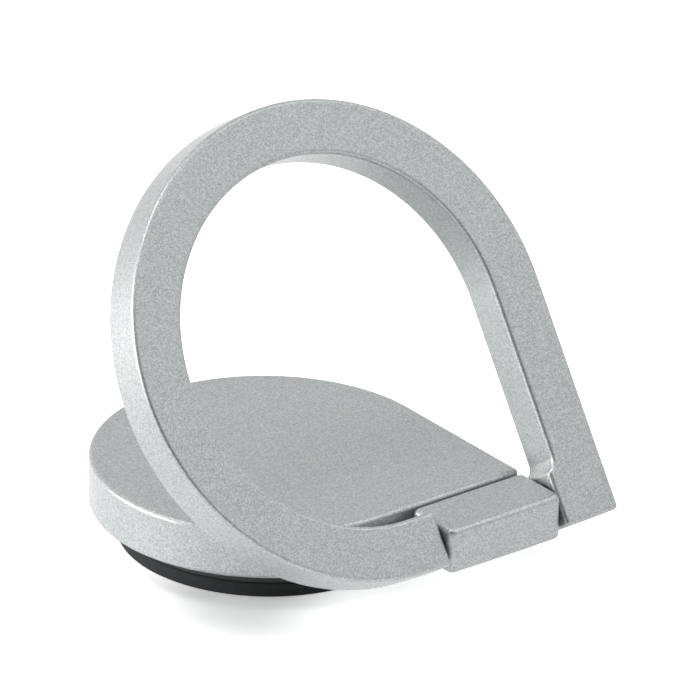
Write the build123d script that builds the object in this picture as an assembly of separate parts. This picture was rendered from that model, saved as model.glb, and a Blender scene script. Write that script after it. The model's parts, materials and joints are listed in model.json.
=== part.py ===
from build123d import *
import os

# Drop-shaped ring holder for the back of a phone, with its ring swung open.
# Sizes in millimetres. The origin is the centre of the adhesive face and +Z points away from the phone.
# X runs along the hinge, and Y from the hinge to the round back. The square corner lies at +X, -Y.

# Plate: a circle with one square corner
plate_radius = 13.28
plate_thickness = 3.9
plate_corner_round = 0.4
plate_edge_chamfer = 0.12
plate_skin = 0.8

# Finger ring, nested round the plate when folded and flush with its top
ring_gap = 0.72
ring_width = 4.15
ring_thickness = 3.55
ring_shift = 0.3
ring_bow_angle = 2.0
ring_edge_chamfer = 0.15
ring_inner_corner_round = 1.0
ring_outer_corner_round = 0.25
leg_end_round = 0.25
open_angle = 56.5

# Hinge block, which fills the slot in the ring's straight side, and its tongue under the plate
block_length = 10.43
block_overhang = 0.07
block_seam = 0.15
block_drop = 0.14
block_lift = 0.14
block_corner_round = 0.5
block_edge_chamfer = 0.12
leg_gap = 0.2
tongue_length = 7.2
tongue_reach = 4.0
tongue_thickness = 1.3
tongue_corner_round = 0.8
tongue_clearance = 0.1

# Hinge pin, split friction sleeve and thrust washers
pin_radius = 0.75
pin_chamfer = 0.15
pin_seat_depth = 3.2
pin_end_recess = 0.05
sleeve_clearance = 0.03
sleeve_wall = 0.27
sleeve_slit = 0.4
sleeve_setback = 0.2
washer_radius = 1.4
washer_seat_depth = 0.2
washer_play = 0.1
washer_clearance = 0.05

# Countersunk screws that hold the tongue
screw_radius = 0.8
screw_head_radius = 1.5
screw_spacing = 3.8
screw_clearance = 0.1
screw_tip_chamfer = 0.25
screw_socket_radius = 0.5
screw_socket_depth = 0.45

# Swivel: adhesive pad, disc with a hub that turns in the plate, and its fastening
base_radius = 11.2
pad_inset = 0.05
pad_thickness = 1.1
disc_thickness = 1.2
disc_gap = 0.2
disc_edge_chamfer = 0.15
hub_radius = 3.6
hub_clearance = 0.05
hub_headroom = 0.1
hub_web = 1.2
hub_bore_radius = 2.6
glide_margin = 1.2
glide_width = 4.0
glide_thickness = 0.4
shoulder_radius = 1.25
shoulder_clearance = 0.05
thread_radius = 0.95
thread_depth = 1.3
thread_headroom = 0.1
swivel_head_radius = 2.2
swivel_head_height = 0.7
swivel_socket_radius = 0.9
swivel_socket_depth = 0.5
spring_height = 0.3
spring_wall = 0.18
spring_clearance = 0.1

# Levels and outlines that follow from the sizes above
disc_bottom = pad_thickness
disc_top = disc_bottom + disc_thickness
plate_bottom = disc_top + disc_gap
plate_top = plate_bottom + plate_thickness
ring_inner = plate_radius + ring_gap
ring_outer = ring_inner + ring_width
ring_bottom = plate_top - ring_thickness
ring_right = ring_shift + ring_outer
hinge_y = -(ring_inner + ring_outer) / 2
hinge_z = plate_top - ring_thickness / 2
hinge_axis = Axis((0, hinge_y, hinge_z), (1, 0, 0))

block_right = plate_radius + block_overhang
block_left = block_right - block_length
block_middle = (block_left + block_right) / 2
block_back = -plate_radius - block_seam
block_top = plate_top - block_drop
block_bottom = plate_bottom + block_lift
slot_left = block_left - leg_gap
slot_right = block_right + leg_gap
tongue_top = block_bottom + tongue_thickness
tongue_end = tongue_reach - plate_radius
screw_y = (tongue_end - plate_radius) / 2
screw_tip = plate_top - plate_skin

pin_left = slot_left - pin_seat_depth
pin_right = ring_right - pin_end_recess
sleeve_bore_radius = pin_radius + sleeve_clearance
sleeve_radius = sleeve_bore_radius + sleeve_wall
left_seat = slot_left - washer_seat_depth
right_seat = slot_right + washer_seat_depth
washer_thickness = washer_seat_depth + leg_gap - washer_play

thread_top = plate_top - plate_skin
socket_top = thread_top - thread_depth
hub_top = socket_top - hub_headroom
hub_floor = hub_top - hub_web
head_top = hub_floor - spring_height
glide_inner = hub_radius + glide_margin
glide_outer = glide_inner + glide_width
glide_bottom = plate_bottom - glide_thickness

# Turned pieces stand on their own lower end
standing = (Align.CENTER, Align.CENTER, Align.MIN)


def drop(radius, corner_round, bow_angle=0.0):
    """Circle with one square corner, whose hinge side can bow outwards from where it leaves the circle."""
    corner = (radius, -radius)
    circle = CenterArc((0, 0), radius, 0, 270 - bow_angle)
    if bow_angle:
        hinge_side = TangentArc(circle @ 1, corner, tangent=circle % 1)
    else:
        hinge_side = Line(circle @ 1, corner)
    right_side = Line(corner, circle @ 0)
    outline = make_face([circle, hinge_side, right_side])
    return fillet(outline.vertices().sort_by(Axis((0, 0, 0), (1, -1, 0)))[-1], corner_round)


def box_between(low, high):
    """Box given by its lowest and highest corners."""
    size = [top - bottom for bottom, top in zip(low, high)]
    return Pos(*low) * Box(*size, align=(Align.MIN, Align.MIN, Align.MIN))


def rod(radius, left, right):
    """Round rod along the hinge axis."""
    return Pos(left, hinge_y, hinge_z) * Rot(0, 90, 0) * Cylinder(radius, right - left, align=standing)


def tube(outer, inner, bottom, top):
    """Upright tube about the swivel axis."""
    ring = Circle(outer) - Circle(inner)
    return extrude(Pos(0, 0, bottom) * ring, top - bottom)


def turned_about_z(points):
    """Solid of revolution about the swivel axis from (radius, height) points."""
    return revolve(Plane.XZ * make_face(Polyline(*points, close=True)), Axis.Z)


def flat_edges(solid):
    """Edges of the lowest and the highest face."""
    groups = solid.edges().group_by(Axis.Z)
    return groups[0] + groups[-1]


def folded_outer_face():
    """The ring's outer outline where the folded ring lies."""
    return Pos(ring_shift, 0, 0) * drop(ring_outer, ring_outer_corner_round, ring_bow_angle)


def opened(solid):
    """Swing a piece of the ring from its folded place to the open one."""
    return solid.rotate(hinge_axis, open_angle)


def make_finger_ring():
    band = folded_outer_face() - Pos(ring_shift, 0, 0) * drop(ring_inner, ring_inner_corner_round)
    band -= Pos(block_middle, hinge_y) * Rectangle(slot_right - slot_left, 2 * ring_width)
    leg_corners = band.vertices().filter_by_position(Axis.X, slot_left - leg_gap, slot_right + leg_gap)
    band = fillet(leg_corners, leg_end_round)
    ring = extrude(Pos(0, 0, ring_bottom) * band, ring_thickness)
    ring = chamfer(flat_edges(ring), ring_edge_chamfer)
    ring -= rod(pin_radius, pin_left, ring_right + ring_gap)
    ring -= rod(washer_radius + washer_clearance, left_seat, right_seat)
    return opened(ring)


def make_hinge_pin():
    pin = rod(pin_radius, pin_left, pin_right)
    return opened(chamfer(pin.edges().filter_by(GeomType.CIRCLE), pin_chamfer))


def make_thrust_washer(left):
    washer = rod(washer_radius, left, left + washer_thickness)
    return opened(washer - rod(pin_radius + washer_clearance, left, left + washer_thickness))


def make_friction_sleeve():
    left = block_left + sleeve_setback
    right = block_right - sleeve_setback
    sleeve = rod(sleeve_radius, left, right) - rod(sleeve_bore_radius, left, right)
    slit_low = (left, hinge_y - sleeve_slit / 2, hinge_z - sleeve_radius)
    slit_high = (right, hinge_y + sleeve_slit / 2, hinge_z)
    return sleeve - box_between(slit_low, slit_high)


def tongue_shape(margin, front, bottom):
    """Tongue of the hinge block, or with a margin the recess that takes it."""
    half = tongue_length / 2 + margin
    low = (block_middle - half, front, bottom)
    high = (block_middle + half, tongue_end + margin, tongue_top)
    tongue = box_between(low, high)
    return fillet(tongue.edges().filter_by(Axis.Z).group_by(Axis.Y)[-1], tongue_corner_round)


def screw_places(level):
    """Places of the two block screws at one height."""
    sides = (-screw_spacing / 2, screw_spacing / 2)
    return [Pos(block_middle + side, screw_y, level) for side in sides]


def countersunk(radius, head_radius, length):
    """Countersunk form with its head face down at the origin."""
    head_height = head_radius - radius
    return turned_about_z([(0, 0), (head_radius, 0), (radius, head_height), (radius, length), (0, length)])


def hex_socket(radius, depth):
    return extrude(RegularPolygon(radius, 6), depth)


def make_hinge_block():
    low = (block_left, -ring_outer - ring_width, block_bottom)
    high = (block_right, block_back, block_top)
    footprint = extrude(Pos(0, 0, block_bottom) * folded_outer_face(), plate_thickness)
    block = box_between(low, high) & footprint
    block = fillet(block.edges().filter_by(Axis.Z), block_corner_round)
    block = chamfer(flat_edges(block), block_edge_chamfer)
    block += tongue_shape(0, hinge_y, block_bottom)
    block -= rod(sleeve_radius, block_left, block_right)
    hole = countersunk(screw_radius + screw_clearance, screw_head_radius + screw_clearance, plate_thickness)
    for place in screw_places(block_bottom):
        block -= place * hole
    return block


def make_block_screws():
    length = screw_tip - block_bottom
    screw = countersunk(screw_radius, screw_head_radius, length)
    screw = chamfer(screw.edges().sort_by(Axis.Z)[-1], screw_tip_chamfer)
    screw -= hex_socket(screw_socket_radius, screw_socket_depth)
    return Compound(children=[place * screw for place in screw_places(block_bottom)])


def make_base_plate():
    plate = extrude(Pos(0, 0, plate_bottom) * drop(plate_radius, plate_corner_round), plate_thickness)
    plate = chamfer(flat_edges(plate), plate_edge_chamfer)
    plate -= tongue_shape(tongue_clearance, -plate_radius - plate_thickness, plate_bottom - plate_thickness)
    for place in screw_places(plate_bottom):
        plate -= place * Cylinder(screw_radius, screw_tip - plate_bottom, align=standing)
    plate -= turned_about_z([
        (0, plate_bottom),
        (hub_radius + hub_clearance, plate_bottom),
        (hub_radius + hub_clearance, socket_top),
        (thread_radius, socket_top),
        (thread_radius, thread_top),
        (0, thread_top),
    ])
    return plate


def make_glide_washer():
    return tube(glide_outer, glide_inner, glide_bottom, plate_bottom)


def make_swivel_disc():
    disc = turned_about_z([
        (shoulder_radius + shoulder_clearance, hub_floor),
        (hub_bore_radius, hub_floor),
        (hub_bore_radius, disc_bottom),
        (base_radius, disc_bottom),
        (base_radius, disc_top),
        (hub_radius, disc_top),
        (hub_radius, hub_top),
        (shoulder_radius + shoulder_clearance, hub_top),
    ])
    rim = disc.edges().filter_by(GeomType.CIRCLE).group_by(SortBy.RADIUS)[-1]
    disc = chamfer(rim, disc_edge_chamfer)
    return disc - tube(glide_outer, glide_inner, glide_bottom, plate_bottom)


def make_disc_spring():
    inner = shoulder_radius + spring_clearance
    outer = hub_bore_radius - spring_clearance
    return turned_about_z([
        (inner, head_top),
        (inner, head_top + spring_wall),
        (outer, hub_floor),
        (outer, hub_floor - spring_wall),
    ])


def make_swivel_screw():
    head_bottom = head_top - swivel_head_height
    screw = turned_about_z([
        (0, head_bottom),
        (swivel_head_radius, head_bottom),
        (swivel_head_radius, head_top),
        (shoulder_radius, head_top),
        (shoulder_radius, socket_top),
        (thread_radius, socket_top),
        (thread_radius, thread_top - thread_headroom),
        (0, thread_top - thread_headroom),
    ])
    return screw - Pos(0, 0, head_bottom) * hex_socket(swivel_socket_radius, swivel_socket_depth)


def make_adhesive_pad():
    return Cylinder(base_radius - pad_inset, pad_thickness, align=standing)


pieces = {
    "finger_ring": make_finger_ring(),
    "hinge_pin": make_hinge_pin(),
    "left_thrust_washer": make_thrust_washer(left_seat),
    "right_thrust_washer": make_thrust_washer(right_seat - washer_thickness),
    "hinge_block": make_hinge_block(),
    "friction_sleeve": make_friction_sleeve(),
    "block_screws": make_block_screws(),
    "base_plate": make_base_plate(),
    "glide_washer": make_glide_washer(),
    "swivel_disc": make_swivel_disc(),
    "disc_spring": make_disc_spring(),
    "swivel_screw": make_swivel_screw(),
    "adhesive_pad": make_adhesive_pad(),
}

os.makedirs("parts", exist_ok=True)
for name, piece in pieces.items():
    export_step(piece, f"parts/{name}.step")
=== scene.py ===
"""Looks of a drop-shaped phone ring holder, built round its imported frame.

Run as a script, it registers its operators, calls them in order and leaves the finished scene.
Lengths are in metres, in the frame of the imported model.
"""

import json
import math

import bmesh
import bpy
from bpy.props import FloatProperty, FloatVectorProperty, PointerProperty
from bpy.types import Operator, Panel, PropertyGroup
from mathutils import Matrix, Quaternion, Vector


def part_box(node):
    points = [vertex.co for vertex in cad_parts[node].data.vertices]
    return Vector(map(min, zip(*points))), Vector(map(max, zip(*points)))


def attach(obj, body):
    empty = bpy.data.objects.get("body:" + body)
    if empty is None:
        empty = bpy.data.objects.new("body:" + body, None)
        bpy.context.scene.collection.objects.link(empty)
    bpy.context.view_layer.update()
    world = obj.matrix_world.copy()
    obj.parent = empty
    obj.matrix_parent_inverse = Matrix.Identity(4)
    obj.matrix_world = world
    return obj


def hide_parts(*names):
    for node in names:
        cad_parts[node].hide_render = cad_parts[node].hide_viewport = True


bl_info = {
    "name": "Phone ring holder",
    "version": (1, 0, 0),
    "blender": (4, 5, 0),
    "location": "3D View > Sidebar > Ring Holder",
    "description": "Builds the painted, moulded and steel pieces of a phone ring holder and its stage",
    "category": "Object",
}

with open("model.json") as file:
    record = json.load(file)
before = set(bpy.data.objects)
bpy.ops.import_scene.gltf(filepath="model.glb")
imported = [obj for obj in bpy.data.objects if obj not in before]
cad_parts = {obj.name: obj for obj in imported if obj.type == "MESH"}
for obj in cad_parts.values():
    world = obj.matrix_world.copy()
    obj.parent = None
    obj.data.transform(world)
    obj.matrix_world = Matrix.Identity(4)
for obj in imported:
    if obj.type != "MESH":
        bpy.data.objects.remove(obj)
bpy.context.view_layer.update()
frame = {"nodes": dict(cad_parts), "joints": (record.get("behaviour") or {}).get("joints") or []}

# Sizes and places that the frame gives
HINGE_JOINT = next(joint for joint in frame["joints"] if joint["name"] == "ring_hinge")
HINGE = Vector(HINGE_JOINT["pos_m"])
OPEN_ANGLE = -math.radians(HINGE_JOINT["range_deg"][0])

PLATE_LOW, PLATE_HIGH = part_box("base_plate")
PLATE_RADIUS = PLATE_HIGH.x

RING_LOW, RING_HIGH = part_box("finger_ring")
RING_RADIUS = (RING_HIGH.x - RING_LOW.x) / 2
RING_OPENING = -2 * HINGE.y - RING_RADIUS
RING_THICKNESS = 2 * (PLATE_HIGH.z - HINGE.z)
RING_CENTRE = Vector(((RING_HIGH.x + RING_LOW.x) / 2, 0, PLATE_HIGH.z - RING_THICKNESS))

PIN_LOW, PIN_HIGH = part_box("hinge_pin")
PIN_RADIUS = (PIN_HIGH.z - PIN_LOW.z) / 2
LEFT_WASHER_LOW, LEFT_WASHER_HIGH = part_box("left_thrust_washer")
RIGHT_WASHER_LOW, RIGHT_WASHER_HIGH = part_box("right_thrust_washer")
WASHER_RADIUS = (LEFT_WASHER_HIGH.z - LEFT_WASHER_LOW.z) / 2
SLEEVE_LOW, SLEEVE_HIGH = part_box("friction_sleeve")
SLEEVE_RADIUS = (SLEEVE_HIGH.y - SLEEVE_LOW.y) / 2

BLOCK_LOW, BLOCK_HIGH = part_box("hinge_block")
BLOCK_MIDDLE = (BLOCK_LOW.x + BLOCK_HIGH.x) / 2
SCREWS_LOW, SCREWS_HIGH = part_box("block_screws")
SCREW_HEAD_RADIUS = (SCREWS_HIGH.y - SCREWS_LOW.y) / 2
SCREW_Y = (SCREWS_HIGH.y + SCREWS_LOW.y) / 2
SCREW_PLACES = (SCREWS_LOW.x + SCREW_HEAD_RADIUS, SCREWS_HIGH.x - SCREW_HEAD_RADIUS)

HUB_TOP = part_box("swivel_disc")[1].z
SWIVEL_SCREW_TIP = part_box("swivel_screw")[1].z
PAD_LOW, PAD_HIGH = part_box("adhesive_pad")

# Fineness of the meshes
ROUND_STEPS = 120
RUN_STEPS = 3
STUB_STEPS = 8
BLOCK_STEPS = 8
CORNER_STEPS = 8
EDGE_STEPS = 5
HOLE_STEPS = 32
SHARP_ANGLE = math.radians(35)
SNAP = 1e-6
FLAT_ANGLE = 1e-3
THREE_QUARTERS = math.radians(270)

# Grain, relief and gloss of the finishes
CLUMP_SCALE = 0.35
CLUMP_SHARE = 0.15
FLAKE_ENDS = (0.15, 0.85)
FLAKE_BUMP = 0.25
GRAIN_SIZE = 0.0002
GRAIN_ENDS = (0.3, 0.7)
GRAIN_BUMP = 0.2
RELIEF_DEPTH = 0.00002
TONE_SPREAD = 0.2
ROUGHNESS_SPREAD = 0.1
STEEL_ROUGHNESS = 0.35
SLIP_ROUGHNESS = 0.4
PLASTIC_ROUGHNESS = 0.45
FOAM_ROUGHNESS = 0.9

# Floor, and softboxes by their azimuth and elevation in degrees and their width
WHITE = (1.0, 1.0, 1.0, 1.0)
FLOOR_RADIUS = 6.0
FLOOR_STEPS = 64
FLOOR_DROP = 0.00002
SOFTBOX_DISTANCE = 0.7
SOFTBOXES = {
    "left": (-120, 8, 0.5),
    "front": (0, 50, 0.5),
    "right": (60, 50, 0.5),
    "top": (-124, 70, 0.25),
}

UP = Vector((0, 0, 1))
ALONG = Vector((1, 0, 0))


def length(name, description, default):
    """Length property in metres."""
    return FloatProperty(
        name=name, description=description, default=default, min=0.0,
        precision=5, subtype="DISTANCE", unit="LENGTH",
    )


def angle(name, description, degrees):
    """Angle property, given in degrees."""
    return FloatProperty(
        name=name, description=description, default=math.radians(degrees), subtype="ANGLE", unit="ROTATION",
    )


def level(name, description, default):
    """Plain strength or share, from nothing upwards."""
    return FloatProperty(name=name, description=description, default=default, min=0.0, precision=3)


def colour(name, description, default):
    """Colour property in linear light."""
    return FloatVectorProperty(
        name=name, description=description, default=default, size=3, min=0.0, max=1.0, subtype="COLOR",
    )


class RingHolderForm(PropertyGroup):
    """Rounds and clearances that the frame's boxes don't give."""

    hinge_side_bow: angle("Hinge side bow", "Angle at which the ring's hinge side leaves its circle", 2.0)
    ring_edge: length("Ring edge", "Round on the ring's edges", 0.00032)
    ring_outer_corner: length("Ring outer corner", "Round on the ring's square corner", 0.00035)
    ring_inner_corner: length("Ring inner corner", "Round inside the ring's square corner", 0.001)
    leg_gap: length("Leg gap", "Gap between the hinge block and each leg end", 0.0002)
    leg_end: length("Leg end", "Round on the corners of the leg ends", 0.00035)
    washer_clearance: length("Washer clearance", "Room round the washers in their seats", 0.00005)
    plate_edge: length("Plate edge", "Round on the plate's upper and lower edges", 0.00035)
    plate_corner: length("Plate corner", "Round on the plate's square corner", 0.0004)
    block_edge: length("Block edge", "Round on the hinge block's upper and lower edges", 0.00045)
    block_corner: length("Block corner", "Round on the hinge block's upright edges", 0.0006)
    block_seam: length("Block seam", "Gap between the hinge block and the plate", 0.00015)
    tongue_width: length("Tongue width", "Width of the tongue that the block puts under the plate", 0.0072)
    tongue_thickness: length("Tongue thickness", "Thickness of the tongue", 0.0013)
    tongue_corner: length("Tongue corner", "Round on the tongue's corners", 0.0008)
    tongue_clearance: length("Tongue clearance", "Room round the tongue in the plate's recess", 0.0001)
    screw_radius: length("Screw radius", "Radius of the block screws", 0.0008)
    screw_clearance: length("Screw clearance", "Room round the block screws", 0.0001)
    hub_radius: length("Hub radius", "Radius of the disc's hub", 0.0036)
    hub_clearance: length("Hub clearance", "Room between the hub and the plate", 0.00005)
    hub_headroom: length("Hub headroom", "Room above the hub", 0.0001)
    thread_radius: length("Thread radius", "Radius of the swivel screw's thread", 0.00095)
    thread_headroom: length("Thread headroom", "Room beyond the swivel screw's tip", 0.0001)
    pad_edge: length("Pad edge", "Round on the foam pad's edges", 0.00012)


class RingHolderFinish(PropertyGroup):
    """Colours and grain of the finishes."""

    paint_dark: colour("Paint, dark flakes", "Darkest flakes of the silver paint", (0.335, 0.348, 0.353))
    paint_light: colour("Paint, light flakes", "Lightest flakes of the silver paint", (0.54, 0.554, 0.559))
    paint_roughness: level("Paint roughness", "Mean roughness of the silver paint", 0.42)
    paint_metal: level("Paint metal", "Share of the paint that mirrors as metal does", 0.7)
    paint_coat: level("Paint coat", "Share of clear coat over the silver paint", 0.25)
    coat_roughness: level("Coat roughness", "Roughness of the clear coat", 0.2)
    flake_size: length("Flake size", "Size of the paint's metal flakes", 0.00008)
    plastic: colour("Moulded plastic", "Colour of the swivel disc", (0.018, 0.0198, 0.0215))
    slip_plastic: colour("Slip plastic", "Colour of the washers", (0.03, 0.03, 0.03))
    foam: colour("Foam", "Colour of the adhesive pad", (0.024, 0.0265, 0.028))
    steel: colour("Steel", "Colour of the pin and the screws", (0.6, 0.6, 0.6))
    spring_steel: colour("Spring steel", "Colour of the sleeve and the disc spring", (0.3, 0.31, 0.34))


class RingHolderStage(PropertyGroup):
    """Camera, floor and light."""

    camera_azimuth: angle("Camera azimuth", "Turn of the camera round the object", -38.389)
    camera_elevation: angle("Camera elevation", "Height of the camera above the horizon", 25.889)
    camera_roll: angle("Camera roll", "Turn of the camera about its own axis", 0.874)
    camera_distance: length("Camera distance", "Distance from the camera to its target", 1.4575)
    camera_lens: FloatProperty(
        name="Camera lens", description="Focal length of the camera", default=1011.2,
        subtype="DISTANCE_CAMERA", unit="CAMERA",
    )
    camera_target: FloatVectorProperty(
        name="Camera target", description="Point in the middle of the picture",
        default=(0.007617, 0.0, 0.012638), size=3, precision=5, subtype="XYZ", unit="LENGTH",
    )
    floor_colour: colour("Floor", "Colour of the floor", (0.95, 0.95, 0.95))
    floor_gain: level("Floor gain", "Times that the floor looks lighter than it lights the object", 1.25)
    floor_glow: level(
        "Floor glow", "Brightness that the floor shows above its light, away from the shadow", 0.72
    )
    shadow_glow: level(
        "Shadow glow", "Brightness that the floor shows above its light, in the shadow", 0.18
    )
    shadow_place: FloatVectorProperty(
        name="Shadow place", description="Place on the floor where the shadow shows most",
        default=(-0.009, -0.0078, 0.0), size=3, precision=5, subtype="XYZ", unit="LENGTH",
    )
    shadow_near: length(
        "Shadow near", "Distance from the shadow's place at which the floor starts to glow", 0.002
    )
    shadow_far: length(
        "Shadow far", "Distance from the shadow's place at which the floor glows fully", 0.01
    )
    dark_azimuth: angle("Dark side azimuth", "Bearing of the studio's unlit side", -38.0)
    dark_elevation: angle("Dark side elevation", "Height of the unlit side's middle", 15.0)
    dark_core: angle("Dark side core", "Angle from its middle within which the unlit side is darkest", 28.0)
    dark_reach: angle("Dark side reach", "Angle from its middle at which the unlit side ends", 55.0)
    dark_depth: level(
        "Dark side depth", "Share of the white that the unlit side lacks in mirrored rays", 1.0
    )
    sky_light: level("Sky light", "Strength of the even light all round", 0.03)
    left_light: level("Left light", "Light level of the softbox on the left", 1.18)
    front_light: level("Front light", "Light level of the softbox in front", 0.095)
    right_light: level("Right light", "Light level of the softbox on the right", 0.17)
    top_light: level("Top light", "Light level of the small softbox above", 0.28)


def direction(azimuth, elevation):
    """Unit vector from the object towards a bearing. Azimuth 0 is in front, at -Y."""
    flat = math.cos(elevation)
    return Vector((math.sin(azimuth) * flat, -math.cos(azimuth) * flat, math.sin(elevation)))


class HingeSide:
    """Bowed outer line of the folded ring's hinge side, from its circle to the square corner."""

    def __init__(self, bow, height):
        out = Vector((-math.sin(bow), -math.cos(bow), 0))
        chord = Vector((RING_RADIUS, -RING_RADIUS, 0)) - out * RING_RADIUS
        half_turn = math.atan2(chord.y, chord.x) + bow
        self.radius = chord.length / (2 * math.sin(half_turn))
        self.centre = Vector((RING_CENTRE.x, 0, height)) + out * (RING_RADIUS - self.radius)
        self.left = RING_CENTRE.x + out.x * RING_RADIUS
        self.right = RING_CENTRE.x + RING_RADIUS

    def bearing(self, x):
        return math.asin((x - self.centre.x) / self.radius)

    def point(self, x):
        bearing = self.bearing(x)
        return self.centre + Vector((math.sin(bearing), -math.cos(bearing), 0)) * self.radius

    def draw(self, bm, vert, start, end, steps):
        return draw_arc(bm, vert, self.centre, self.bearing(end) - self.bearing(start), steps)


def draw_line(bm, vert, end, steps=1):
    """Straight run of edges from a vertex to a point. Returns its last vertex."""
    stride = (Vector(end) - vert.co) / steps
    for _ in range(steps):
        vert = bmesh.ops.extrude_vert_indiv(bm, verts=[vert])["verts"][0]
        bmesh.ops.translate(bm, verts=[vert], vec=stride)
    return vert


def draw_arc(bm, vert, centre, turn, steps):
    """Run of edges from a vertex round an upright axis. Returns its last vertex."""
    made = bmesh.ops.spin(bm, geom=[vert], cent=centre, axis=UP, angle=turn, steps=steps)
    return next(item for item in made["geom_last"] if isinstance(item, bmesh.types.BMVert))


def closed_face(bm, first, last):
    """Face inside the run of edges from the first vertex to the last."""
    bm.edges.new((last, first))
    return bmesh.ops.contextual_create(bm, geom=bm.edges[:])["faces"][0]


def raised(bm, faces, height):
    """Raise faces, with walls below their outline. Returns the raised faces."""
    made = bmesh.ops.extrude_face_region(bm, geom=faces, use_keep_orig=True)["geom"]
    verts = [item for item in made if isinstance(item, bmesh.types.BMVert)]
    bmesh.ops.translate(bm, verts=verts, vec=UP * height)
    return [item for item in made if isinstance(item, bmesh.types.BMFace)]


def merged_flats(bm):
    """Dissolve the edges between faces that lie in one plane."""
    bmesh.ops.recalc_face_normals(bm, faces=bm.faces[:])
    flat = [edge for edge in bm.edges if edge.is_manifold and edge.calc_face_angle() < FLAT_ANGLE]
    bmesh.ops.dissolve_edges(bm, edges=flat, use_verts=True)


def vert_at(bm, point):
    """Vertex nearest to a point."""
    return min(bm.verts, key=lambda vert: (vert.co - point).length)


def upright_edges(bm, places):
    """Upright edges at given places of the plan."""
    plans = [Vector(place).to_2d() for place in places]
    return [
        edge for edge in bm.edges
        if any(all((vert.co.to_2d() - plan).length < SNAP for vert in edge.verts) for plan in plans)
    ]


def level_edges(bm, height):
    """Sharp edges that lie at one height."""
    return [
        edge for edge in bm.edges
        if all(abs(vert.co.z - height) < SNAP for vert in edge.verts)
        and edge.is_manifold and edge.calc_face_angle() > SHARP_ANGLE
    ]


def rounded(bm, edges, radius, steps):
    """Round edges off."""
    bmesh.ops.bevel(
        bm, geom=edges, offset=radius, offset_type="OFFSET", segments=steps,
        profile=0.5, affect="EDGES", material=-1, clamp_overlap=False,
    )


def flat_face(bm, point, normal):
    """Flat face nearest to a point among those that face one way."""
    facing = [face for face in bm.faces if face.normal.dot(normal) > 1 - SNAP]
    return min(facing, key=lambda face: (face.calc_center_median() - point).length)


def hole_rims(bm, face, centres, radius):
    """Cut round holes in a flat face. Returns the edges of each hole's rim."""
    outline = face.edges[:]
    normal = face.normal.copy()
    turn = normal.to_track_quat("Z", "Y").to_matrix().to_4x4()
    bmesh.ops.delete(bm, geom=[face], context="FACES_ONLY")
    rims = []
    for centre in centres:
        place = Matrix.Translation(centre) @ turn
        verts = bmesh.ops.create_circle(bm, segments=HOLE_STEPS, radius=radius, matrix=place)["verts"]
        rims.append(list({edge for vert in verts for edge in vert.link_edges}))
    filled = [edge for rim in rims for edge in rim] + outline
    bmesh.ops.triangle_fill(bm, use_beauty=True, edges=filled, normal=normal)
    return rims


def deepened(bm, rim, path, narrowed=1.0):
    """Carry a hole's rim along a path, and narrow it there. Returns the edges of its new end."""
    made = bmesh.ops.extrude_edge_only(bm, edges=rim)["geom"]
    verts = [item for item in made if isinstance(item, bmesh.types.BMVert)]
    bmesh.ops.translate(bm, verts=verts, vec=path)
    middle = sum((vert.co for vert in verts), Vector()) / len(verts)
    bmesh.ops.scale(bm, verts=verts, vec=Vector((1, 1, 1)) * narrowed, space=Matrix.Translation(-middle))
    return [item for item in made if isinstance(item, bmesh.types.BMEdge)]


def capped(bm, rim):
    """Close a rim with a flat face."""
    return bmesh.ops.contextual_create(bm, geom=rim)["faces"][0]


def piece(bm, name, body, node, material):
    """Turn a finished bmesh into the piece that stands for a node."""
    bmesh.ops.remove_doubles(bm, verts=bm.verts[:], dist=SNAP / 10)
    bmesh.ops.recalc_face_normals(bm, faces=bm.faces[:])
    mesh = bpy.data.meshes.new(name)
    bm.to_mesh(mesh)
    bm.free()
    mesh.shade_smooth()
    mesh.set_sharp_from_angle(angle=SHARP_ANGLE)
    mesh.materials.append(material)
    made = bpy.data.objects.new(name, mesh)
    bpy.context.scene.collection.objects.link(made)
    normals = made.modifiers.new("Even shading", "WEIGHTED_NORMAL")
    normals.keep_sharp = True
    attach(made, body)
    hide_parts(node)
    return made


def finish_node(node, material):
    """Give a node of the frame its finish."""
    materials = frame["nodes"][node].data.materials
    materials.clear()
    materials.append(material)


class NodeTree:
    """New material or world with its node tree emptied, and short ways to fill it."""

    def __init__(self, owner):
        owner.use_nodes = True
        self.owner = owner
        self.tree = owner.node_tree
        self.tree.nodes.clear()

    def add(self, kind, inputs=None, **settings):
        """Node of one kind. An input is given a plain value or the output that feeds it."""
        node = self.tree.nodes.new(kind)
        for name, value in settings.items():
            setattr(node, name, value)
        for name, value in (inputs or {}).items():
            if isinstance(value, bpy.types.NodeSocket):
                self.tree.links.new(value, node.inputs[name])
            else:
                node.inputs[name].default_value = value
        return node

    def ramp(self, factor, stops):
        """Colour ramp through (position, colour) stops."""
        node = self.add("ShaderNodeValToRGB", {"Fac": factor})
        elements = node.color_ramp.elements
        while len(elements) < len(stops):
            elements.new(1.0)
        for element, (position, value) in zip(elements, stops):
            element.position = position
            element.color = (*value, 1.0)
        return node.outputs["Color"]

    def roughness(self, grain, mean):
        """Roughness that varies about its mean with a grain from 0 to 1."""
        node = self.add("ShaderNodeMapRange", {
            "Value": grain,
            "To Min": mean - ROUGHNESS_SPREAD,
            "To Max": mean + ROUGHNESS_SPREAD,
        })
        return node.outputs["Result"]


def new_material(name):
    """Node tree of a new material."""
    return NodeTree(bpy.data.materials.new(name))


def surface(nodes, inputs):
    """Principled surface as the material's output."""
    shader = nodes.add("ShaderNodeBsdfPrincipled", inputs)
    nodes.add("ShaderNodeOutputMaterial", {"Surface": shader.outputs["BSDF"]})
    return nodes.owner


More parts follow.
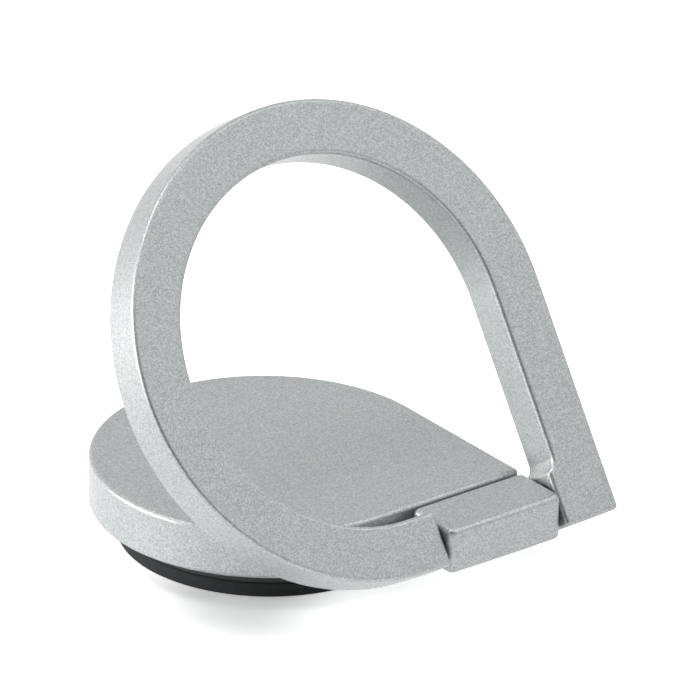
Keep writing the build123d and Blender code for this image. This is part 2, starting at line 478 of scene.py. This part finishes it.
def silver_paint(finish):
    """Matte silver paint with fine metal flakes."""
    found = bpy.data.materials.get("grained_silver_paint")
    if found:
        return found
    nodes = new_material("grained_silver_paint")
    place = nodes.add("ShaderNodeTexCoord").outputs["Object"]
    flakes = nodes.add("ShaderNodeTexVoronoi", {"Vector": place, "Scale": 1 / finish.flake_size})
    tone = nodes.add("ShaderNodeSeparateColor", {"Color": flakes.outputs["Color"]})
    clumps = nodes.add(
        "ShaderNodeTexNoise", {"Vector": place, "Scale": CLUMP_SCALE / finish.flake_size, "Detail": 2.0}
    )
    grain = nodes.add(
        "ShaderNodeMix", {"Factor": CLUMP_SHARE, "A": tone.outputs["Red"], "B": clumps.outputs["Fac"]}
    ).outputs["Result"]
    bump = nodes.add(
        "ShaderNodeBump", {"Strength": FLAKE_BUMP, "Distance": RELIEF_DEPTH, "Height": grain}
    )
    tones = zip(FLAKE_ENDS, (finish.paint_dark, finish.paint_light))
    return surface(nodes, {
        "Base Color": nodes.ramp(grain, list(tones)),
        "Metallic": finish.paint_metal,
        "Roughness": nodes.roughness(tone.outputs["Green"], finish.paint_roughness),
        "Coat Weight": finish.paint_coat,
        "Coat Roughness": finish.coat_roughness,
        "Normal": bump.outputs["Normal"],
    })


def plain_finish(name, colour_value, roughness, metallic):
    """Finish with a fine even grain in its tone, gloss and relief."""
    nodes = new_material(name)
    place = nodes.add("ShaderNodeTexCoord").outputs["Object"]
    grain = nodes.add(
        "ShaderNodeTexNoise", {"Vector": place, "Scale": 1 / GRAIN_SIZE, "Detail": 3.0}
    ).outputs["Fac"]
    bump = nodes.add(
        "ShaderNodeBump", {"Strength": GRAIN_BUMP, "Distance": RELIEF_DEPTH, "Height": grain}
    )
    dark = [channel * (1 - TONE_SPREAD) for channel in colour_value]
    light = [min(channel * (1 + TONE_SPREAD), 1.0) for channel in colour_value]
    return surface(nodes, {
        "Base Color": nodes.ramp(grain, list(zip(GRAIN_ENDS, (dark, light)))),
        "Metallic": metallic,
        "Roughness": nodes.roughness(grain, roughness),
        "Normal": bump.outputs["Normal"],
    })


class RINGHOLDER_OT_stage(Operator):
    """Set up the floor, the light and the camera"""

    bl_idname = "ring_holder.stage"
    bl_label = "Stage"

    def execute(self, context):
        stage = context.scene.ring_holder_stage
        context.scene.view_settings.view_transform = "Standard"
        self.make_floor(context, stage)
        self.make_sky(context, stage)
        target = Vector(stage.camera_target)
        for side in SOFTBOXES:
            self.make_softbox(context, side, getattr(stage, f"{side}_light"), target)
        self.make_camera(context, stage, target)
        return {"FINISHED"}

    def make_floor(self, context, stage):
        bm = bmesh.new()
        bmesh.ops.create_circle(bm, cap_ends=True, segments=FLOOR_STEPS, radius=FLOOR_RADIUS)
        bmesh.ops.translate(bm, verts=bm.verts[:], vec=UP * -FLOOR_DROP)
        mesh = bpy.data.meshes.new("floor")
        bm.to_mesh(mesh)
        bm.free()
        nodes = new_material("floor")
        diffuse = nodes.add("ShaderNodeBsdfDiffuse", {"Color": (*stage.floor_colour, 1.0)})
        lifted = [channel * stage.floor_gain for channel in stage.floor_colour]
        bright = nodes.add("ShaderNodeBsdfDiffuse", {"Color": (*lifted, 1.0)})
        glow = nodes.add("ShaderNodeEmission", {"Strength": self.floor_glow(nodes, stage)})
        shown = nodes.add("ShaderNodeAddShader")
        nodes.tree.links.new(bright.outputs[0], shown.inputs[0])
        nodes.tree.links.new(glow.outputs[0], shown.inputs[1])
        mixed = nodes.add("ShaderNodeMixShader", {"Fac": self.seen(nodes)})
        nodes.tree.links.new(diffuse.outputs[0], mixed.inputs[1])
        nodes.tree.links.new(shown.outputs[0], mixed.inputs[2])
        nodes.add("ShaderNodeOutputMaterial", {"Surface": mixed.outputs[0]})
        mesh.materials.append(nodes.owner)
        floor = bpy.data.objects.new("floor", mesh)
        context.scene.collection.objects.link(floor)

    def floor_glow(self, nodes, stage):
        """Glow that rises with the distance from the shadow's place, so that the shadow fades out."""
        place = nodes.add("ShaderNodeTexCoord").outputs["Object"]
        away = nodes.add("ShaderNodeVectorMath", {"Vector": place}, operation="DISTANCE")
        away.inputs[1].default_value = stage.shadow_place
        return nodes.add("ShaderNodeMapRange", {
            "Value": away.outputs["Value"],
            "From Min": stage.shadow_near,
            "From Max": stage.shadow_far,
            "To Min": stage.shadow_glow,
            "To Max": stage.floor_glow,
        }, interpolation_type="SMOOTHSTEP").outputs["Result"]

    def seen(self, nodes):
        """1 for rays that show the background: from the camera, a mirror or glass."""
        path = nodes.add("ShaderNodeLightPath").outputs
        mirror = nodes.add("ShaderNodeMath", operation="MAXIMUM")
        nodes.tree.links.new(path["Is Camera Ray"], mirror.inputs[0])
        nodes.tree.links.new(path["Is Glossy Ray"], mirror.inputs[1])
        both = nodes.add("ShaderNodeMath", operation="MAXIMUM")
        nodes.tree.links.new(mirror.outputs[0], both.inputs[0])
        nodes.tree.links.new(path["Is Transmission Ray"], both.inputs[1])
        return both.outputs[0]

    def make_sky(self, context, stage):
        world = bpy.data.worlds.new("sky")
        context.scene.world = world
        nodes = NodeTree(world)
        light = nodes.add("ShaderNodeBackground", {"Color": WHITE, "Strength": stage.sky_light})
        shown = self.white_studio(nodes, stage)
        white = nodes.add("ShaderNodeBackground", {"Color": WHITE, "Strength": shown})
        mixed = nodes.add("ShaderNodeMixShader", {"Fac": self.seen(nodes)})
        nodes.tree.links.new(light.outputs[0], mixed.inputs[1])
        nodes.tree.links.new(white.outputs[0], mixed.inputs[2])
        nodes.add("ShaderNodeOutputWorld", {"Surface": mixed.outputs[0]})

    def white_studio(self, nodes, stage):
        """White all round, apart from the studio's unlit side, which only the paint's gloss shows."""
        bearing = nodes.add("ShaderNodeTexCoord").outputs["Generated"]
        nearness = nodes.add("ShaderNodeVectorMath", {"Vector": bearing}, operation="DOT_PRODUCT")
        nearness.inputs[1].default_value = direction(stage.dark_azimuth, stage.dark_elevation)
        shade = nodes.add("ShaderNodeMapRange", {
            "Value": nearness.outputs["Value"],
            "From Min": math.cos(stage.dark_reach),
            "From Max": math.cos(stage.dark_core),
            "To Min": 1.0,
            "To Max": 1.0 - stage.dark_depth,
        }, interpolation_type="SMOOTHSTEP").outputs["Result"]
        mirrored = nodes.add("ShaderNodeLightPath").outputs["Is Glossy Ray"]
        return nodes.add("ShaderNodeMix", {"Factor": mirrored, "A": 1.0, "B": shade}).outputs["Result"]

    def make_softbox(self, context, side, light_level, target):
        azimuth, elevation, width = SOFTBOXES[side]
        name = f"{side}_softbox"
        lamp = bpy.data.lights.new(name, "AREA")
        lamp.shape = "SQUARE"
        lamp.size = width
        lamp.energy = light_level * math.pi ** 2 * SOFTBOX_DISTANCE ** 2
        softbox = bpy.data.objects.new(name, lamp)
        context.scene.collection.objects.link(softbox)
        bearing = direction(math.radians(azimuth), math.radians(elevation))
        softbox.location = target + bearing * SOFTBOX_DISTANCE
        softbox.rotation_mode = "QUATERNION"
        softbox.rotation_quaternion = (-bearing).to_track_quat("-Z", "Y")

    def make_camera(self, context, stage, target):
        data = bpy.data.cameras.new("camera")
        data.lens = stage.camera_lens
        camera = bpy.data.objects.new("camera", data)
        context.scene.collection.objects.link(camera)
        bearing = direction(stage.camera_azimuth, stage.camera_elevation)
        camera.location = target + bearing * stage.camera_distance
        camera.rotation_mode = "QUATERNION"
        roll = Quaternion((0, 0, 1), stage.camera_roll)
        camera.rotation_quaternion = (-bearing).to_track_quat("-Z", "Y") @ roll
        context.scene.camera = camera


class RINGHOLDER_OT_finger_ring(Operator):
    """Build the finger ring in its folded place and swing it open"""

    bl_idname = "ring_holder.finger_ring"
    bl_label = "Finger ring"

    def execute(self, context):
        form = context.scene.ring_holder_form
        left = BLOCK_LOW.x - form.leg_gap
        right = BLOCK_HIGH.x + form.leg_gap
        side = HingeSide(form.hinge_side_bow, RING_CENTRE.z)
        bm = bmesh.new()
        self.draw_band(bm, form, side, left, right)
        raised(bm, bm.faces[:], RING_THICKNESS)
        merged_flats(bm)
        outer_corner = RING_CENTRE + Vector((RING_RADIUS, -RING_RADIUS, 0))
        leg_ends = [side.point(left), side.point(right), Vector((left, -RING_OPENING, 0))]
        rounded(bm, upright_edges(bm, [outer_corner]), form.ring_outer_corner, CORNER_STEPS)
        rounded(bm, upright_edges(bm, leg_ends), form.leg_end, CORNER_STEPS)
        flats = level_edges(bm, RING_CENTRE.z) + level_edges(bm, PLATE_HIGH.z)
        rounded(bm, flats, form.ring_edge, EDGE_STEPS)
        self.bore_for_pin(bm, form, left, right)
        swing = Matrix.Rotation(OPEN_ANGLE, 3, "X")
        bmesh.ops.rotate(bm, verts=bm.verts[:], cent=HINGE, matrix=swing)
        paint = silver_paint(context.scene.ring_holder_finish)
        piece(bm, "ring_shell", "ring", "finger_ring", paint)
        return {"FINISHED"}

    def draw_band(self, bm, form, side, left, right):
        vert = bm.verts.new(side.point(left))
        vert = side.draw(bm, vert, left, side.left, RUN_STEPS)
        vert = draw_arc(bm, vert, RING_CENTRE, form.hinge_side_bow - THREE_QUARTERS, ROUND_STEPS)
        vert = draw_line(bm, vert, RING_CENTRE + Vector((RING_RADIUS, -RING_RADIUS, 0)))
        side.draw(bm, vert, side.right, right, STUB_STEPS)
        vert = bm.verts.new((left, -RING_OPENING, RING_CENTRE.z))
        vert = draw_line(bm, vert, RING_CENTRE - Vector((0, RING_OPENING, 0)), RUN_STEPS)
        vert = draw_arc(bm, vert, RING_CENTRE, -THREE_QUARTERS, ROUND_STEPS)
        self.draw_stub_corner(bm, vert, form, right)
        bmesh.ops.bridge_loops(bm, edges=bm.edges[:])

    def draw_stub_corner(self, bm, vert, form, right):
        """Inner line of the square corner, which runs over into the round of the stub's end."""
        hollow, swell = form.ring_inner_corner, form.leg_end
        hollow_centre = RING_CENTRE + Vector((RING_OPENING - hollow, hollow - RING_OPENING, 0))
        turn = math.acos((right + swell - hollow_centre.x) / (hollow + swell))
        reach = Vector((math.cos(turn), -math.sin(turn), 0))
        swell_centre = hollow_centre + reach * (hollow + swell)
        vert = draw_line(bm, vert, hollow_centre + ALONG * hollow)
        vert = draw_arc(bm, vert, hollow_centre, -turn, STUB_STEPS // 2)
        draw_arc(bm, vert, swell_centre, turn, STUB_STEPS // 2)

    def bore_for_pin(self, bm, form, left, right):
        seat_radius = WASHER_RADIUS + form.washer_clearance
        left_seat = self.washer_seat(bm, left, LEFT_WASHER_LOW.x, seat_radius)
        right_seat = self.washer_seat(bm, right, RIGHT_WASHER_HIGH.x, seat_radius)
        wall = Vector((RING_HIGH.x, HINGE.y, HINGE.z))
        outer_rims = hole_rims(bm, flat_face(bm, wall, ALONG), [wall], PIN_RADIUS)
        bmesh.ops.bridge_loops(bm, edges=outer_rims[0] + right_seat)
        capped(bm, deepened(bm, left_seat, ALONG * (PIN_LOW.x - LEFT_WASHER_LOW.x)))

    def washer_seat(self, bm, x, floor_x, radius):
        """Sink a washer's seat into a leg end. Returns the rim of the pin's bore in its floor."""
        inwards = floor_x - x
        end = Vector((x, HINGE.y, HINGE.z))
        mouth = hole_rims(bm, flat_face(bm, end, -ALONG * math.copysign(1, inwards)), [end], radius)[0]
        floor = capped(bm, deepened(bm, mouth, ALONG * inwards))
        floor.normal_update()
        return hole_rims(bm, floor, [end + ALONG * inwards], PIN_RADIUS)[0]


class RINGHOLDER_OT_base_plate(Operator):
    """Build the drop-shaped plate with the tongue's recess and the hub's socket"""

    bl_idname = "ring_holder.base_plate"
    bl_label = "Base plate"

    def execute(self, context):
        form = context.scene.ring_holder_form
        half = form.tongue_width / 2 + form.tongue_clearance
        end = BLOCK_HIGH.y + form.tongue_clearance
        recess = [
            Vector((BLOCK_MIDDLE + side * half, y, PLATE_LOW.z))
            for side, y in ((-1, -PLATE_RADIUS), (-1, end), (1, end), (1, -PLATE_RADIUS))
        ]
        corner = Vector((PLATE_RADIUS, -PLATE_RADIUS, PLATE_LOW.z))
        ceiling_z = BLOCK_LOW.z + form.tongue_thickness
        bm = bmesh.new()
        self.draw_plan(bm, recess, corner)
        plan = raised(bm, bm.faces[:], ceiling_z - PLATE_LOW.z)
        rise = UP * (ceiling_z - PLATE_LOW.z)
        ceiling = capped(bm, [vert_at(bm, point + rise) for point in recess])
        raised(bm, [*plan, ceiling], PLATE_HIGH.z - ceiling_z)
        bmesh.ops.delete(bm, geom=plan, context="FACES_ONLY")
        merged_flats(bm)
        rounded(bm, upright_edges(bm, [corner]), form.plate_corner, CORNER_STEPS)
        rounded(bm, upright_edges(bm, recess[1:3]), form.tongue_corner, CORNER_STEPS)
        flats = level_edges(bm, PLATE_LOW.z) + level_edges(bm, PLATE_HIGH.z)
        rounded(bm, flats, form.plate_edge, EDGE_STEPS)
        self.bore_for_screws(bm, form)
        paint = silver_paint(context.scene.ring_holder_finish)
        piece(bm, "plate_shell", "plate", "base_plate", paint)
        return {"FINISHED"}

    def draw_plan(self, bm, recess, corner):
        first = bm.verts.new(recess[3])
        vert = draw_line(bm, first, corner)
        vert = draw_line(bm, vert, Vector((PLATE_RADIUS, 0, PLATE_LOW.z)))
        vert = draw_arc(bm, vert, Vector((0, 0, PLATE_LOW.z)), THREE_QUARTERS, ROUND_STEPS)
        for point in recess[:3]:
            vert = draw_line(bm, vert, point)
        closed_face(bm, first, vert)

    def bore_for_screws(self, bm, form):
        ceiling = BLOCK_LOW.z + form.tongue_thickness
        places = [Vector((x, SCREW_Y, ceiling)) for x in SCREW_PLACES]
        face = flat_face(bm, Vector((BLOCK_MIDDLE, SCREW_Y, ceiling)), -UP)
        for rim in hole_rims(bm, face, places, form.screw_radius):
            capped(bm, deepened(bm, rim, UP * (SCREWS_HIGH.z - ceiling)))
        mouth = Vector((0, 0, PLATE_LOW.z))
        top = Vector((0, 0, HUB_TOP + form.hub_headroom))
        [rim] = hole_rims(bm, flat_face(bm, mouth, -UP), [mouth], form.hub_radius + form.hub_clearance)
        floor = capped(bm, deepened(bm, rim, top - mouth))
        floor.normal_update()
        [rim] = hole_rims(bm, floor, [top], form.thread_radius)
        capped(bm, deepened(bm, rim, UP * (SWIVEL_SCREW_TIP + form.thread_headroom - top.z)))


class RINGHOLDER_OT_hinge_block(Operator):
    """Build the hinge block with its tongue, the sleeve's bore and the countersunk holes"""

    bl_idname = "ring_holder.hinge_block"
    bl_label = "Hinge block"

    def execute(self, context):
        form = context.scene.ring_holder_form
        side = HingeSide(form.hinge_side_bow, BLOCK_LOW.z)
        back = -PLATE_RADIUS - form.block_seam
        half = form.tongue_width / 2
        tongue = [
            Vector((BLOCK_MIDDLE + way * half, y, BLOCK_LOW.z))
            for way, y in ((1, back), (1, BLOCK_HIGH.y), (-1, BLOCK_HIGH.y), (-1, back))
        ]
        back_corners = [Vector((x, back, BLOCK_LOW.z)) for x in (BLOCK_LOW.x, BLOCK_HIGH.x)]
        front_corners = [side.point(x) for x in (BLOCK_LOW.x, BLOCK_HIGH.x)]
        bm = bmesh.new()
        first = bm.verts.new(front_corners[0])
        vert = side.draw(bm, first, BLOCK_LOW.x, BLOCK_HIGH.x, BLOCK_STEPS)
        for point in (back_corners[1], *tongue, back_corners[0]):
            vert = draw_line(bm, vert, point)
        closed_face(bm, first, vert)
        raised(bm, bm.faces[:], form.tongue_thickness)
        rise = UP * form.tongue_thickness
        roots = [vert_at(bm, point + rise) for point in (tongue[0], tongue[3])]
        bmesh.ops.connect_vert_pair(bm, verts=roots)
        front = Vector((BLOCK_MIDDLE, HINGE.y, BLOCK_LOW.z)) + rise
        core = min(bm.faces, key=lambda face: (face.calc_center_median() - front).length)
        raised(bm, [core], BLOCK_HIGH.z - BLOCK_LOW.z - form.tongue_thickness)
        bmesh.ops.delete(bm, geom=[core], context="FACES_ONLY")
        merged_flats(bm)
        rounded(bm, upright_edges(bm, front_corners + back_corners), form.block_corner, CORNER_STEPS)
        rounded(bm, upright_edges(bm, tongue[1:3]), form.tongue_corner, CORNER_STEPS)
        flats = level_edges(bm, BLOCK_LOW.z) + level_edges(bm, BLOCK_HIGH.z)
        rounded(bm, flats, form.block_edge, EDGE_STEPS)
        self.bore_for_sleeve(bm)
        self.bore_for_screws(bm, form)
        paint = silver_paint(context.scene.ring_holder_finish)
        piece(bm, "block_shell", "plate", "hinge_block", paint)
        return {"FINISHED"}

    def bore_for_sleeve(self, bm):
        rims = []
        for x, way in ((BLOCK_LOW.x, -ALONG), (BLOCK_HIGH.x, ALONG)):
            end = Vector((x, HINGE.y, HINGE.z))
            rims += hole_rims(bm, flat_face(bm, end, way), [end], SLEEVE_RADIUS)
        bmesh.ops.bridge_loops(bm, edges=rims[0] + rims[1])

    def bore_for_screws(self, bm, form):
        hole = form.screw_radius + form.screw_clearance
        mouth = SCREW_HEAD_RADIUS + form.screw_clearance
        heights = (BLOCK_LOW.z, BLOCK_LOW.z + form.tongue_thickness)
        rims = []
        for height, way, radius in zip(heights, (-UP, UP), (mouth, hole)):
            places = [Vector((x, SCREW_Y, height)) for x in SCREW_PLACES]
            middle = Vector((BLOCK_MIDDLE, SCREW_Y, height))
            rims.append(hole_rims(bm, flat_face(bm, middle, way), places, radius))
        for low, high in zip(*rims):
            neck = deepened(bm, low, UP * (mouth - hole), hole / mouth)
            bmesh.ops.bridge_loops(bm, edges=neck + high)


class RINGHOLDER_OT_adhesive_pad(Operator):
    """Build the round foam pad with softened edges"""

    bl_idname = "ring_holder.adhesive_pad"
    bl_label = "Adhesive pad"

    def execute(self, context):
        form = context.scene.ring_holder_form
        finish = context.scene.ring_holder_finish
        bm = bmesh.new()
        place = Matrix.Translation(UP * PAD_LOW.z)
        bmesh.ops.create_circle(bm, cap_ends=True, segments=ROUND_STEPS, radius=PAD_HIGH.x, matrix=place)
        raised(bm, bm.faces[:], PAD_HIGH.z - PAD_LOW.z)
        bmesh.ops.recalc_face_normals(bm, faces=bm.faces[:])
        flats = level_edges(bm, PAD_LOW.z) + level_edges(bm, PAD_HIGH.z)
        rounded(bm, flats, form.pad_edge, EDGE_STEPS)
        foam = plain_finish("foam", finish.foam, FOAM_ROUGHNESS, 0.0)
        pad = piece(bm, "foam_pad", "base", "adhesive_pad", foam)
        return {"FINISHED"}


class RINGHOLDER_OT_steel_pieces(Operator):
    """Give the hinge pin and the screws their turned steel"""

    bl_idname = "ring_holder.steel_pieces"
    bl_label = "Steel pieces"

    def execute(self, context):
        finish = context.scene.ring_holder_finish
        steel = plain_finish("turned_steel", finish.steel, STEEL_ROUGHNESS, 1.0)
        for node in ("hinge_pin", "block_screws", "swivel_screw"):
            finish_node(node, steel)
        return {"FINISHED"}


class RINGHOLDER_OT_springs(Operator):
    """Give the friction sleeve and the disc spring their spring steel"""

    bl_idname = "ring_holder.springs"
    bl_label = "Springs"

    def execute(self, context):
        finish = context.scene.ring_holder_finish
        spring = plain_finish("spring_steel", finish.spring_steel, STEEL_ROUGHNESS, 1.0)
        for node in ("friction_sleeve", "disc_spring"):
            finish_node(node, spring)
        return {"FINISHED"}


class RINGHOLDER_OT_washers(Operator):
    """Give the thrust washers and the glide washer their slip plastic"""

    bl_idname = "ring_holder.washers"
    bl_label = "Washers"

    def execute(self, context):
        finish = context.scene.ring_holder_finish
        slip = plain_finish("slip_plastic", finish.slip_plastic, SLIP_ROUGHNESS, 0.0)
        for node in ("left_thrust_washer", "right_thrust_washer", "glide_washer"):
            finish_node(node, slip)
        return {"FINISHED"}


class RINGHOLDER_OT_swivel_disc(Operator):
    """Give the swivel disc its moulded plastic"""

    bl_idname = "ring_holder.swivel_disc"
    bl_label = "Swivel disc"

    def execute(self, context):
        finish = context.scene.ring_holder_finish
        plastic = plain_finish("moulded_plastic", finish.plastic, PLASTIC_ROUGHNESS, 0.0)
        finish_node("swivel_disc", plastic)
        return {"FINISHED"}


class RINGHOLDER_PT_sidebar(Panel):
    """Sizes, finishes and build steps of the ring holder"""

    bl_idname = "RINGHOLDER_PT_sidebar"
    bl_label = "Ring Holder"
    bl_space_type = "VIEW_3D"
    bl_region_type = "UI"
    bl_category = "Ring Holder"

    def draw(self, context):
        for group in GROUPS:
            settings = getattr(context.scene, group)
            box = self.layout.box()
            for name in settings.bl_rna.properties.keys():
                if name not in {"rna_type", "name"}:
                    box.prop(settings, name)
        for operator in OPERATORS:
            self.layout.operator(operator.bl_idname)


GROUPS = {
    "ring_holder_form": RingHolderForm,
    "ring_holder_finish": RingHolderFinish,
    "ring_holder_stage": RingHolderStage,
}
OPERATORS = (
    RINGHOLDER_OT_stage,
    RINGHOLDER_OT_finger_ring,
    RINGHOLDER_OT_base_plate,
    RINGHOLDER_OT_hinge_block,
    RINGHOLDER_OT_adhesive_pad,
    RINGHOLDER_OT_steel_pieces,
    RINGHOLDER_OT_springs,
    RINGHOLDER_OT_washers,
    RINGHOLDER_OT_swivel_disc,
)
CLASSES = (*GROUPS.values(), *OPERATORS, RINGHOLDER_PT_sidebar)


def register():
    for item in CLASSES:
        bpy.utils.register_class(item)
    for name, group in GROUPS.items():
        setattr(bpy.types.Scene, name, PointerProperty(type=group))


def unregister():
    for name in GROUPS:
        delattr(bpy.types.Scene, name)
    for item in reversed(CLASSES):
        bpy.utils.unregister_class(item)


def main():
    """Build the whole scene."""
    register()
    bpy.ops.ring_holder.stage()
    bpy.ops.ring_holder.finger_ring()
    bpy.ops.ring_holder.base_plate()
    bpy.ops.ring_holder.hinge_block()
    bpy.ops.ring_holder.adhesive_pad()
    bpy.ops.ring_holder.steel_pieces()
    bpy.ops.ring_holder.springs()
    bpy.ops.ring_holder.washers()
    bpy.ops.ring_holder.swivel_disc()


if __name__ == "__main__":
    main()
